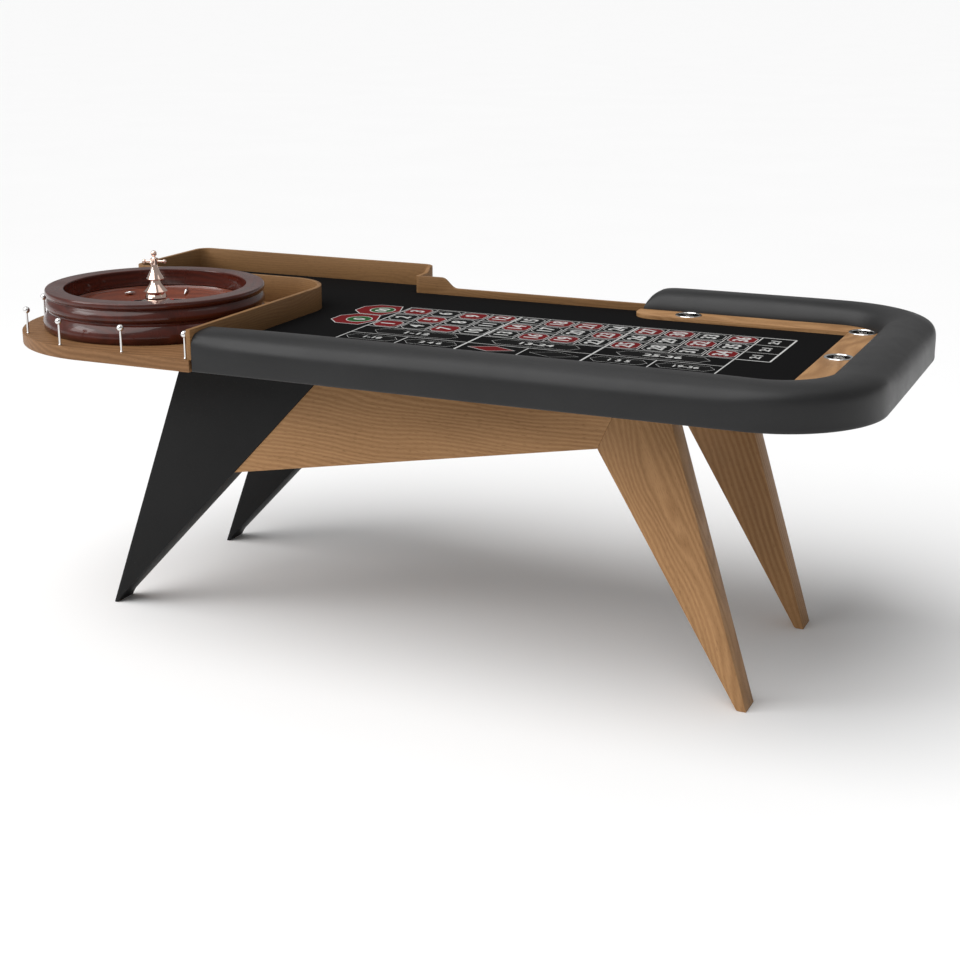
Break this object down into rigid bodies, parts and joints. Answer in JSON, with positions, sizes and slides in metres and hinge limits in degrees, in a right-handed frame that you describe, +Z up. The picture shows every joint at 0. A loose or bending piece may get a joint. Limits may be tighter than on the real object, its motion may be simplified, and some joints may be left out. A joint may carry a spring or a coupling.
{
  "type": "roulette table",
  "caption": "Roulette table with a rounded wheel bay, turned wheel, black layout cloth, padded armrest, wooden fence and splayed side frames",
  "frame": {"origin": "on the floor under the middle of the table top", "axes": "+X along the table away from the wheel, +Y to the croupier side, +Z up"},
  "size_m": [2.489, 1.19, 1.0419],
  "materials": {
    "black_paint": "satin painted wood",
    "teak": "satin lacquered teak",
    "board": "raw birch plywood",
    "zinc_steel": "zinc plated",
    "cloth": "printed black layout cloth",
    "vinyl": "soft black upholstery vinyl",
    "chrome": "polished",
    "mahogany": "gloss lacquered mahogany",
    "track_wood": "gloss lacquered red wood",
    "bearing_steel": "ground steel",
    "number_band": "gloss numbered band"
  },
  "bodies": {
    "table": {"left_leg_front": "black_paint", "left_leg_back": "black_paint", "right_leg_front": "teak", "right_leg_back": "teak", "apron_front": "teak", "apron_back": "teak", "cross_beam_left": "teak", "cross_beam_centre": "teak", "cross_beam_right": "teak", "corner_brackets": "zinc_steel", "deck_bolts": "zinc_steel", "deck_panel": "black_paint", "wheel_platform": "teak", "play_board": "board", "layout_cloth": "cloth", "wheel_fence": "teak", "back_wall": "teak", "low_wall": "teak", "racetrack": "teak", "armrest_core": "board", "armrest_pad": "vinyl", "guard_pin_1": "chrome", "guard_pin_2": "chrome", "guard_pin_3": "chrome", "guard_pin_4": "chrome", "guard_pin_5": "chrome", "guard_pin_6": "chrome", "guard_pin_7": "chrome", "wheel_bowl": "mahogany", "bowl_floor": "mahogany", "ball_track": "track_wood", "ball_deflectors": "chrome", "spindle": "bearing_steel", "spindle_screws": "zinc_steel"},
    "wheel_rotor": {"lower_bearing": "bearing_steel", "upper_bearing": "bearing_steel", "rotor": "mahogany", "number_ring": "number_band", "pocket_frets": "chrome", "turret_body": "chrome", "turret_handle": "chrome", "turret_finial": "chrome"},
    "back_cup": {"cup_holder_back": "chrome"},
    "corner_cup": {"cup_holder_corner": "chrome"},
    "end_cup": {"cup_holder_end": "chrome"}
  },
  "joints": [
    {"name": "rotor_spin", "type": "hinge", "parent": "table", "child": "wheel_rotor", "pos_m": [-0.8695, -0.215, 0.87], "axis": [0, 0, 1], "continuous": true},
    {"name": "back_cup_lift", "type": "slide", "parent": "table", "child": "back_cup", "axis": [0, 0, 1], "range_m": [0, 0.055]},
    {"name": "corner_cup_lift", "type": "slide", "parent": "table", "child": "corner_cup", "axis": [0, 0, 1], "range_m": [0, 0.055]},
    {"name": "end_cup_lift", "type": "slide", "parent": "table", "child": "end_cup", "axis": [0, 0, 1], "range_m": [0, 0.055]}
  ]
}
